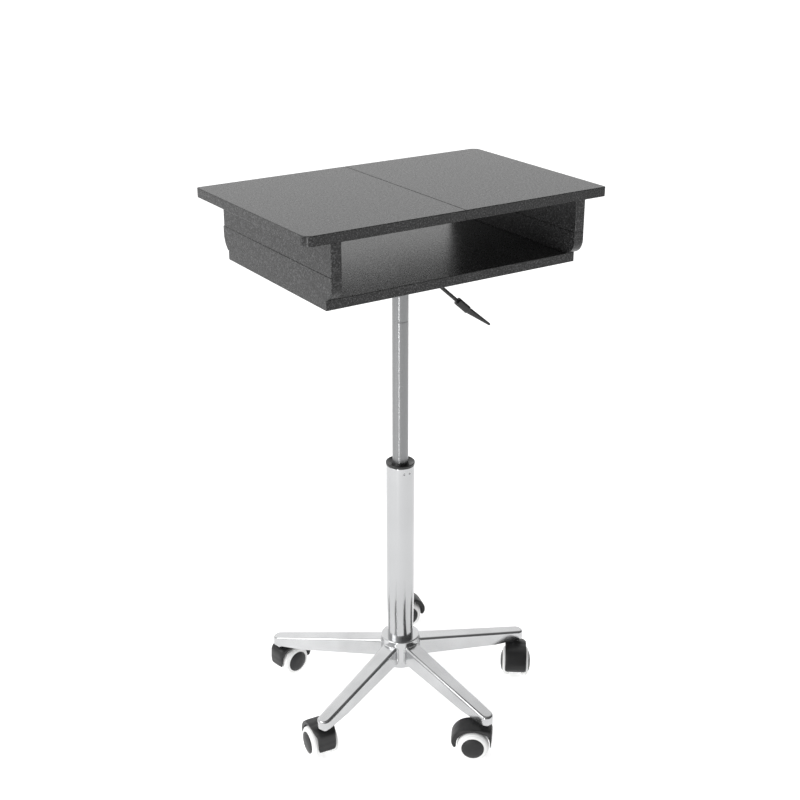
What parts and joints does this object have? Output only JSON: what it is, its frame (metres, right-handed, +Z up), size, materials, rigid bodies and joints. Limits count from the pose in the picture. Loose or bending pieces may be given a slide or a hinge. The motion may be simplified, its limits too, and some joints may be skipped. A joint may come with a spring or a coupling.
{
  "type": "rolling height-adjustable lectern",
  "caption": "Rolling lectern for a laptop: a board box with a flat top and open shelf on a gas spring column with a lever, chromed star foot and twin-wheel casters.",
  "frame": {"origin": "on the floor, in the middle of the whole object's outline; the column axis is 14 mm behind it", "axes": "+Z up, +X to the right of the user who stands at the lectern, +Y away from the user"},
  "size_m": [0.555, 0.4869, 0.97],
  "materials": {
    "grey_laminate": "particle board in dark grey speckled melamine, satin",
    "beech": "fluted beech, unfinished",
    "chrome": "bright plated steel",
    "steel": "ground steel",
    "zinc": "zinc plated",
    "black_steel": "black powder coat",
    "black_plastic": "moulded black nylon",
    "white_wheel": "white polyurethane, satin"
  },
  "bodies": {
    "base": {"base_hub": "chrome", "base_arm_left": "chrome", "base_arm_front_left": "chrome", "base_arm_front_right": "chrome", "base_arm_right": "chrome", "base_arm_rear": "chrome", "column_tube": "chrome", "column_bush": "black_plastic", "thrust_bearing": "steel", "caster_stems": "steel"},
    "spring_rod": {"piston_rod": "steel", "rod_clip": "steel"},
    "table": {"tabletop_left": "grey_laminate", "tabletop_right": "grey_laminate", "side_upper_left": "grey_laminate", "side_upper_right": "grey_laminate", "side_lower_left": "grey_laminate", "side_lower_right": "grey_laminate", "bottom_board": "grey_laminate", "board_dowels": "beech", "joining_plates": "zinc", "board_screws": "zinc", "mounting_plate": "black_steel", "plate_bolts": "black_steel", "gas_cylinder": "chrome"},
    "lever": {"lever_rod": "black_steel", "lever_grip": "black_plastic"},
    "valve": {"valve_pin": "steel"},
    "caster_left": {"caster_left_hood": "black_plastic", "caster_left_axle": "steel"},
    "caster_left_wheel_a": {"caster_left_wheel_a": "white_wheel", "caster_left_cap_a": "black_plastic"},
    "caster_left_wheel_b": {"caster_left_wheel_b": "white_wheel", "caster_left_cap_b": "black_plastic"},
    "caster_front_left": {"caster_front_left_hood": "black_plastic", "caster_front_left_axle": "steel"},
    "caster_front_left_wheel_a": {"caster_front_left_wheel_a": "white_wheel", "caster_front_left_cap_a": "black_plastic"},
    "caster_front_left_wheel_b": {"caster_front_left_wheel_b": "white_wheel", "caster_front_left_cap_b": "black_plastic"},
    "caster_front_right": {"caster_front_right_hood": "black_plastic", "caster_front_right_axle": "steel"},
    "caster_front_right_wheel_a": {"caster_front_right_wheel_a": "white_wheel", "caster_front_right_cap_a": "black_plastic"},
    "caster_front_right_wheel_b": {"caster_front_right_wheel_b": "white_wheel", "caster_front_right_cap_b": "black_plastic"},
    "caster_right": {"caster_right_hood": "black_plastic", "caster_right_axle": "steel"},
    "caster_right_wheel_a": {"caster_right_wheel_a": "white_wheel", "caster_right_cap_a": "black_plastic"},
    "caster_right_wheel_b": {"caster_right_wheel_b": "white_wheel", "caster_right_cap_b": "black_plastic"},
    "caster_rear": {"caster_rear_hood": "black_plastic", "caster_rear_axle": "steel"},
    "caster_rear_wheel_a": {"caster_rear_wheel_a": "white_wheel", "caster_rear_cap_a": "black_plastic"},
    "caster_rear_wheel_b": {"caster_rear_wheel_b": "white_wheel", "caster_rear_cap_b": "black_plastic"}
  },
  "joints": [
    {"name": "table_swivel", "type": "hinge", "parent": "base", "child": "spring_rod", "pos_m": [0, 0.014, 0.3], "axis": [0, 0, 1], "continuous": true},
    {"name": "table_lift", "type": "slide", "parent": "spring_rod", "child": "table", "axis": [0, 0, 1], "range_m": [-0.265, 0]},
    {"name": "lever_pull", "type": "hinge", "parent": "table", "child": "lever", "pos_m": [0.02898, 0.00624, 0.8394], "axis": [-0.2588, -0.9659, 0], "range_deg": [0, 6], "stiffness_Nm_per_rad": 0.5, "springref_deg": -5.73},
    {"name": "valve_press", "type": "slide", "parent": "table", "child": "valve", "axis": [0, 0, -1], "range_m": [0, 0.0037]},
    {"name": "caster_left_swivel", "type": "hinge", "parent": "base", "child": "caster_left", "pos_m": [-0.1577, 0.19225, 0.06], "axis": [0, 0, 1], "continuous": true},
    {"name": "caster_left_spin_a", "type": "hinge", "parent": "caster_left", "child": "caster_left_wheel_a", "pos_m": [-0.13709, 0.19626, 0.028], "axis": [-0.1908, 0.9816, 0], "continuous": true},
    {"name": "caster_left_spin_b", "type": "hinge", "parent": "caster_left", "child": "caster_left_wheel_b", "pos_m": [-0.13709, 0.19626, 0.028], "axis": [-0.1908, 0.9816, 0], "continuous": true},
    {"name": "caster_front_left_swivel", "type": "hinge", "parent": "base", "child": "caster_front_left", "pos_m": [-0.21826, -0.0809, 0.06], "axis": [0, 0, 1], "continuous": true},
    {"name": "caster_front_left_spin_a", "type": "hinge", "parent": "caster_front_left", "child": "caster_front_left_wheel_a", "pos_m": [-0.21607, -0.06002, 0.028], "axis": [-0.9945, 0.1045, 0], "continuous": true},
    {"name": "caster_front_left_spin_b", "type": "hinge", "parent": "caster_front_left", "child": "caster_front_left_wheel_b", "pos_m": [-0.21607, -0.06002, 0.028], "axis": [-0.9945, 0.1045, 0], "continuous": true},
    {"name": "caster_front_right_swivel", "type": "hinge", "parent": "base", "child": "caster_front_right", "pos_m": [0.02281, -0.2229, 0.06], "axis": [0, 0, 1], "continuous": true},
    {"name": "caster_front_right_spin_a", "type": "hinge", "parent": "caster_front_right", "child": "caster_front_right_wheel_a", "pos_m": [0.00626, -0.20997, 0.028], "axis": [-0.6157, -0.788, 0], "continuous": true},
    {"name": "caster_front_right_spin_b", "type": "hinge", "parent": "caster_front_right", "child": "caster_front_right_wheel_b", "pos_m": [0.00626, -0.20997, 0.028], "axis": [-0.6157, -0.788, 0], "continuous": true},
    {"name": "caster_right_swivel", "type": "hinge", "parent": "base", "child": "caster_right", "pos_m": [0.23236, -0.03751, 0.06], "axis": [0, 0, 1], "continuous": true},
    {"name": "caster_right_spin_a", "type": "hinge", "parent": "caster_right", "child": "caster_right_wheel_a", "pos_m": [0.21972, -0.05428, 0.028], "axis": [0.7986, -0.6018, 0], "continuous": true},
    {"name": "caster_right_spin_b", "type": "hinge", "parent": "caster_right", "child": "caster_right_wheel_b", "pos_m": [0.21972, -0.05428, 0.028], "axis": [0.7986, -0.6018, 0], "continuous": true},
    {"name": "caster_rear_swivel", "type": "hinge", "parent": "base", "child": "caster_rear", "pos_m": [0.12079, 0.21907, 0.06], "axis": [0, 0, 1], "continuous": true},
    {"name": "caster_rear_spin_a", "type": "hinge", "parent": "caster_rear", "child": "caster_rear_wheel_a", "pos_m": [0.14116, 0.21395, 0.028], "axis": [0.2436, 0.9699, 0], "continuous": true},
    {"name": "caster_rear_spin_b", "type": "hinge", "parent": "caster_rear", "child": "caster_rear_wheel_b", "pos_m": [0.14116, 0.21395, 0.028], "axis": [0.2436, 0.9699, 0], "continuous": true}
  ],
  "couplings": [
    {"joint": "valve_press", "follows": "lever_pull", "m_per_rad": 0.0345}
  ]
}
